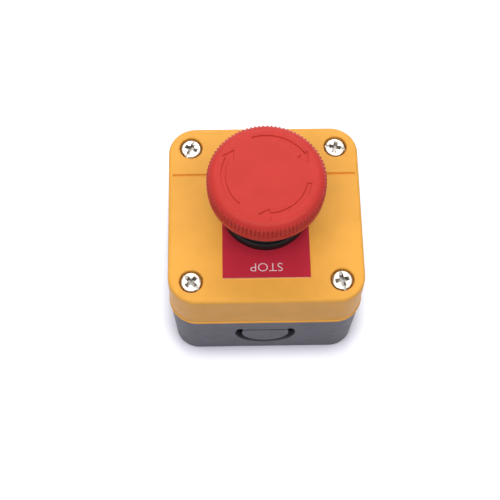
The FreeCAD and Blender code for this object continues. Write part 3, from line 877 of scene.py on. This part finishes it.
# %% Cap put together
steep_edge = math.radians(60)
cap_mesh = joined([cap_body()] + [arrow(tip) for tip in arrow_tips])
fill_levels(cap_mesh, z_crown)
close_openings(cap_mesh)
outwards(cap_mesh)
arrow_rims = [edge for edge in cap_mesh.edges
              if all(vert.co.z > z_crown - IN_PLANE for vert in edge.verts)
              and edge.calc_face_angle(0.0) > steep_edge]
bevel(cap_mesh, arrow_rims, arrow_edge, RIM_STEPS, "EDGES")
cap_mesh = joined([cap_mesh] + [cap_rib(math.tau * number / cap_ribs)
                                for number in range(cap_ribs)])
make_piece("cap_head", cap_mesh, "head", "red_cap", ["mushroom_cap"], sharp_degrees=40.0)

# %% [markdown]
# ## Springs
# Four springs work inside the box. A CAD spring is rigid, so each gets a mesh of its own: a round
# wire section, spun with a step along the axis.

# %% Coil of round wire
WIRE_STEPS = 10
TURN_STEPS = 32


def coil(low, high, wire, turns, axis):
    """Round-wire coil that fills the box of a CAD spring, along Z or X."""
    size = high - low
    length, width = (size.z, size.x) if axis == "Z" else (size.x, size.z)
    bm = bmesh.new()
    start = Matrix.Translation(((width - wire) / 2, 0, (wire - length) / 2))
    ring = bmesh.ops.create_circle(bm, cap_ends=True, segments=WIRE_STEPS, radius=wire / 2,
                                   matrix=start @ about("X", math.pi / 2))
    steps = turns * TURN_STEPS
    spin(bm, ring["verts"] + bm.edges[:] + bm.faces[:], turns * math.tau, steps,
         rise=(length - wire) / steps)
    if axis == "X":
        turned(bm, about("Y", math.pi / 2))
    return moved(bm, *((low + high) / 2))


# %% Springs on their bodies
push_travel = 5.0 * MM
pin_travel = 1.0 * MM
for node, wire, turns, axis, body, joint, travel in (
        ("return_spring", 1.3 * MM, 5, "Z", "root", "head_push", push_travel),
        ("nc_spring", 0.5 * MM, 4, "Z", "root", "head_push", push_travel),
        ("no_spring", 0.5 * MM, 5, "Z", "root", "head_push", push_travel),
        ("latch_spring", 0.4 * MM, 4, "X", "head", "latch_slide_right", 2 * pin_travel)):
    low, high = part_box(node)
    spring_mesh = coil(low, high, wire, turns, axis)
    spring = make_piece(node + "_wire", spring_mesh, body, "spring_steel", [node])
    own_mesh(spring)

# %% [markdown]
# ## Finishes
# Every finish is procedural and reads Object coordinates, so it stays on the piece when the piece
# moves. Moulded plastic is never one flat colour: it has a fine grain from the mould, and its
# colour and gloss drift a little. So one recipe makes all the plastics, with the size and depth of
# the grain as its settings, and the metals get a second.

# %% Nodes and links
def add_node(owner, kind, **settings):
    """Adds a node to a material or world and sets its inputs by name."""
    node = owner.node_tree.nodes.new(kind)
    for name, value in settings.items():
        node.inputs[name.replace("_", " ")].default_value = value
    return node


def link(owner, source, target):
    owner.node_tree.links.new(source, target)


def ranged(owner, source, span, result, curve="LINEAR"):
    """Spreads a span of values over another."""
    node = add_node(owner, "ShaderNodeMapRange", From_Min=span[0], From_Max=span[1],
                    To_Min=result[0], To_Max=result[1])
    node.interpolation_type = curve
    link(owner, source, node.inputs["Value"])
    return node.outputs["Result"]


def worked_out(owner, operation, first, second):
    """One sum on two sockets."""
    node = add_node(owner, "ShaderNodeMath")
    node.operation = operation
    link(owner, first, node.inputs[0])
    link(owner, second, node.inputs[1])
    return node.outputs["Value"]


def object_place(owner):
    return add_node(owner, "ShaderNodeTexCoord").outputs["Object"]


def colour_mix(owner, share):
    mix = add_node(owner, "ShaderNodeMix")
    mix.data_type = "RGBA"
    link(owner, share, mix.inputs["Factor"])
    return mix


# %% Drift, gloss and grain
NOISE_ROUGHNESS = 0.55
NOISE_MIDDLE = (0.3, 0.7)       # where most of a noise lies


def noise(material, size, detail=2.0):
    """Noise on Object coordinates whose marks are about the given size."""
    pattern = add_node(material, "ShaderNodeTexNoise", Scale=1 / size, Detail=detail,
                       Roughness=NOISE_ROUGHNESS)
    link(material, object_place(material), pattern.inputs["Vector"])
    return pattern.outputs["Fac"]


def drift(material, shader, colour, wander, size):
    """Lets the colour wander a little lighter and darker."""
    mix = colour_mix(material, ranged(material, noise(material, size), NOISE_MIDDLE, (0.0, 1.0)))
    mix.inputs["A"].default_value = (*(part * (1 - wander) for part in colour), 1)
    mix.inputs["B"].default_value = (*(min(part * (1 + wander), 1.0) for part in colour), 1)
    link(material, mix.outputs["Result"], shader.inputs["Base Color"])


def uneven_gloss(material, shader, size, low, high):
    gloss = ranged(material, noise(material, size), NOISE_MIDDLE, (low, high))
    link(material, gloss, shader.inputs["Roughness"])


def grain(material, shader, size, depth):
    bump = add_node(material, "ShaderNodeBump", Strength=1.0, Distance=depth)
    link(material, noise(material, size, detail=3.0), bump.inputs["Height"])
    link(material, bump.outputs["Normal"], shader.inputs["Normal"])


# %% Plastic and metal
def new_material(name, colour, roughness, metallic=0.0, specular=0.5):
    material = bpy.data.materials.new(name)
    material.use_nodes = True
    shader = material.node_tree.nodes["Principled BSDF"]
    shader.inputs["Base Color"].default_value = (*colour, 1)
    shader.inputs["Roughness"].default_value = roughness
    shader.inputs["Metallic"].default_value = metallic
    shader.inputs["Specular IOR Level"].default_value = specular
    return material, shader


def plastic(name, colour, roughness, grain_size, grain_depth, wander):
    material, shader = new_material(name, colour, roughness, specular=0.15)
    drift(material, shader, colour, wander, size=9 * MM)
    uneven_gloss(material, shader, 2.5 * MM, low=roughness - 0.05, high=roughness + 0.06)
    grain(material, shader, grain_size, grain_depth)
    return material


def metal(name, colour, roughness, grain_size, grain_depth):
    material, shader = new_material(name, colour, roughness, metallic=1.0)
    drift(material, shader, colour, wander=0.08, size=1.2 * MM)
    uneven_gloss(material, shader, 0.8 * MM, low=roughness - 0.08, high=roughness + 0.12)
    grain(material, shader, grain_size, grain_depth)
    return material


# %% Painted shade and a cut edge
CORE_EDGE = 0.02 * MM
GAP_SAMPLES = 8
GAP_OPENNESS = (0.5, 0.95)      # from a narrow gap to a free surface


def base_colour(material):
    return material.node_tree.nodes["Principled BSDF"].inputs["Base Color"]


def piece_height(material):
    split = add_node(material, "ShaderNodeSeparateXYZ")
    link(material, object_place(material), split.inputs["Vector"])
    return split.outputs["Z"]


def shade(material, factor):
    """Multiplies the colour that the material has so far."""
    target = base_colour(material)
    dark = add_node(material, "ShaderNodeVectorMath")
    dark.operation = "SCALE"
    link(material, target.links[0].from_socket, dark.inputs["Vector"])
    link(material, factor, dark.inputs["Scale"])
    link(material, dark.outputs["Vector"], target)


def paint_shade_below(material, z, fade, factor):
    """Paints shade on everything that lies deeper than a level, as a recess lies in shade."""
    shade(material, ranged(material, piece_height(material), (z - fade, z), (factor, 1.0)))


def paint_gap_shade(material, reach, factor):
    """Paints shade into the narrow gaps of a piece, found by ambient occlusion."""
    gaps = add_node(material, "ShaderNodeAmbientOcclusion", Distance=reach)
    gaps.samples = GAP_SAMPLES
    gaps.only_local = True
    shade(material, ranged(material, gaps.outputs["AO"], GAP_OPENNESS, (factor, 1.0)))


def core_below(material, z, colour):
    """Shows a second colour below a level, as a laminate does at its cut edge."""
    target = base_colour(material)
    skin = target.links[0].from_socket
    step = (z - CORE_EDGE, z + CORE_EDGE)
    mix = colour_mix(material, ranged(material, piece_height(material), step, (0.0, 1.0)))
    mix.inputs["A"].default_value = (*colour, 1)
    link(material, skin, mix.inputs["B"])
    link(material, mix.outputs["Result"], target)


# %% Finishes of this object
finishes = {
    "yellow_shell": plastic("moulded yellow", (0.84, 0.405, 0.066), roughness=0.42,
                            grain_size=0.35 * MM, grain_depth=0.012 * MM, wander=0.035),
    "grey_shell": plastic("moulded grey", (0.138, 0.136, 0.158), roughness=0.5,
                          grain_size=0.35 * MM, grain_depth=0.014 * MM, wander=0.06),
    "red_cap": plastic("satin red", (0.56, 0.040, 0.032), roughness=0.45,
                       grain_size=0.3 * MM, grain_depth=0.006 * MM, wander=0.04),
    "red_label": plastic("label red", (0.49, 0.019, 0.041), roughness=0.5,
                         grain_size=0.25 * MM, grain_depth=0.004 * MM, wander=0.05),
    "black_collar": plastic("satin black", (0.010, 0.009, 0.010), roughness=0.42,
                            grain_size=0.3 * MM, grain_depth=0.008 * MM, wander=0.15),
    "black_inner": plastic("plain black", (0.03, 0.03, 0.033), roughness=0.5,
                           grain_size=0.4 * MM, grain_depth=0.01 * MM, wander=0.1),
    "pale_inner": plastic("plain off-white", (0.62, 0.6, 0.54), roughness=0.5,
                          grain_size=0.4 * MM, grain_depth=0.01 * MM, wander=0.05),
    "seal_rubber": plastic("soft rubber", (0.025, 0.025, 0.026), roughness=0.75,
                           grain_size=0.2 * MM, grain_depth=0.01 * MM, wander=0.1),
    "plated_steel": metal("bright zinc", (0.78, 0.77, 0.75), roughness=0.27,
                          grain_size=0.25 * MM, grain_depth=0.006 * MM),
    "spring_steel": metal("drawn wire", (0.5, 0.5, 0.49), roughness=0.34,
                          grain_size=0.3 * MM, grain_depth=0.006 * MM),
    "contact_brass": metal("bright brass", (0.74, 0.52, 0.2), roughness=0.3,
                           grain_size=0.3 * MM, grain_depth=0.004 * MM),
}
printed_ink = plastic("printed ink", (0.74, 0.58, 0.61), roughness=0.5,
                      grain_size=0.2 * MM, grain_depth=0.003 * MM, wander=0.04)
screw_zinc = metal("bright zinc, dark recess", (0.73, 0.69, 0.64), roughness=0.36,
                   grain_size=0.25 * MM, grain_depth=0.006 * MM)
recess_start = 0.25 * MM        # below the top of the screw's head
label_skin = 0.25 * MM
# painted shade inside the screws' cross recesses and slots
paint_shade_below(screw_zinc, screw_seat + screw_head_height - recess_start, fade=0.6 * MM, factor=0.5)
# painted shade in the knock-out slots and other narrow gaps of the base
paint_gap_shade(finishes["grey_shell"], reach=3 * MM, factor=0.06)
# painted shade between the cap's teeth and along its sunk arrows
paint_gap_shade(finishes["red_cap"], reach=0.6 * MM, factor=0.88)
core_below(finishes["red_label"], label_high.z - label_skin, (0.75, 0.62, 0.6))
print(len(finishes) + 2, "finishes made")


# %% Finishes on all pieces
def finish(piece, material):
    piece.data.materials.clear()
    piece.data.materials.append(material)


for piece in pieces.values():
    finish(piece, finishes[piece["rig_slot"]])
finish(pieces["label_ink"], printed_ink)
finish(pieces["cover_screw_heads"], screw_zinc)
slots = {row["node"]: row["material_slot"] for row in frame["record"]["subparts"]}
for name, node in frame["nodes"].items():
    finish(node, finishes[slots[name]])
print("finishes are on", len(pieces), "new pieces and", len(frame["nodes"]), "CAD nodes")

# %% [markdown]
# ## Floor, light and camera
# The photograph is a plain studio shot from above on white. The world and the floor look white to
# the camera and in reflections, while the lamps set a plain level on the object. The floor glows
# less near the object, so the object's shadow stays on it, and right beside its foot a painted
# contact shadow dims its glow further. Three soft lamps do the rest: two at the front, on the
# right and on the left, and one behind. To find their shares, each lamp was rendered alone, and
# the mix was chosen whose shades come nearest to the photograph's.

# %% White surroundings
ambient = 0.15
white = (1, 1, 1, 1)


def seen_directly(owner):
    """1 for camera, glossy and transmission rays, 0 for the light that the object gathers."""
    rays = add_node(owner, "ShaderNodeLightPath").outputs
    seen = worked_out(owner, "MAXIMUM", rays["Is Camera Ray"], rays["Is Glossy Ray"])
    return worked_out(owner, "MAXIMUM", seen, rays["Is Transmission Ray"])


world = bpy.data.worlds.new("white room")
bpy.context.scene.world = world
world.use_nodes = True
background = world.node_tree.nodes["Background"]
background.inputs["Color"].default_value = white
strength = ranged(world, seen_directly(world), (0.0, 1.0), (ambient, 1.0))
link(world, strength, background.inputs["Strength"])
print("the room lights the object with a strength of", ambient)

# %% Floor
floor_side = 6.0
near_floor = 60 * MM            # from the object's axis
far_floor = 250 * MM
near_glow = 0.6
contact_reach = 7 * MM
contact_openness = (0.5, 1.0)   # from the foot of a wall to a free floor
painted_contact_shadow_glow = 0.1
floor_bm = bmesh.new()
bmesh.ops.create_grid(floor_bm, x_segments=1, y_segments=1, size=floor_side / 2)
floor = placed("floor", written("floor", floor_bm))
paper, paper_shader = new_material("white paper", (0.61, 0.6, 0.68), roughness=0.9, specular=0.0)
paper_shader.inputs["Emission Color"].default_value = white
from_axis = add_node(paper, "ShaderNodeVectorMath")
from_axis.operation = "LENGTH"
link(paper, object_place(paper), from_axis.inputs["Vector"])
glow = ranged(paper, from_axis.outputs["Value"], (near_floor, far_floor), (near_glow, 1.0),
              curve="SMOOTHSTEP")
# painted contact shadow: the floor's glow is dimmed where the object hides its surroundings
contact_shadow_ao = add_node(paper, "ShaderNodeAmbientOcclusion", Distance=contact_reach)
contact = ranged(paper, contact_shadow_ao.outputs["AO"], contact_openness, (painted_contact_shadow_glow, 1.0))
paper_glow = worked_out(paper, "MULTIPLY", glow, contact)
seen_glow = worked_out(paper, "MULTIPLY", paper_glow, seen_directly(paper))
link(paper, seen_glow, paper_shader.inputs["Emission Strength"])
floor.data.materials.append(paper)
print("the floor is", floor_side, "m wide")

# %% Lamps
softbox_side = 0.5
aim = Vector((0, 0, z_top))
for name, place, watts in (("right softbox", (0.27, -0.22, 0.77), 2.4),
                           ("left softbox", (-0.25, -0.22, 0.77), 3.2),
                           ("back softbox", (0.0, 0.6, 0.6), 3.4)):
    lamp = bpy.data.lights.new(name, "AREA")
    lamp.shape = "SQUARE"
    lamp.size = softbox_side
    lamp.energy = watts
    softbox = placed(name, lamp)
    softbox.location = place
    softbox.rotation_euler = (aim - Vector(place)).to_track_quat("-Z", "Y").to_euler()
    print(name, "gives", watts, "W")

# %% Camera
elevation = math.radians(65.9)
azimuth = math.radians(-2.6)
roll = math.radians(1.6)
camera_distance = 401.5 * MM
near_clip = 10 * MM
focal_pixels = 1169
image_pixels = 500
target = Vector((-5.5 * MM, -14.4 * MM, z_top))
camera_data = bpy.data.cameras.new("camera")
camera_data.lens = focal_pixels / image_pixels * camera_data.sensor_width
camera_data.clip_start = near_clip
camera = placed("camera", camera_data)
back = Vector((math.sin(azimuth) * math.cos(elevation),
               -math.cos(azimuth) * math.cos(elevation), math.sin(elevation)))
camera.location = target + back * camera_distance
facing = (-back).to_track_quat("-Z", "Y").to_matrix().to_4x4()
camera.rotation_euler = (facing @ about("Z", roll)).to_euler()
bpy.context.scene.camera = camera
bpy.context.scene.view_settings.view_transform = "Standard"
print("lens in mm:", round(camera_data.lens, 1))
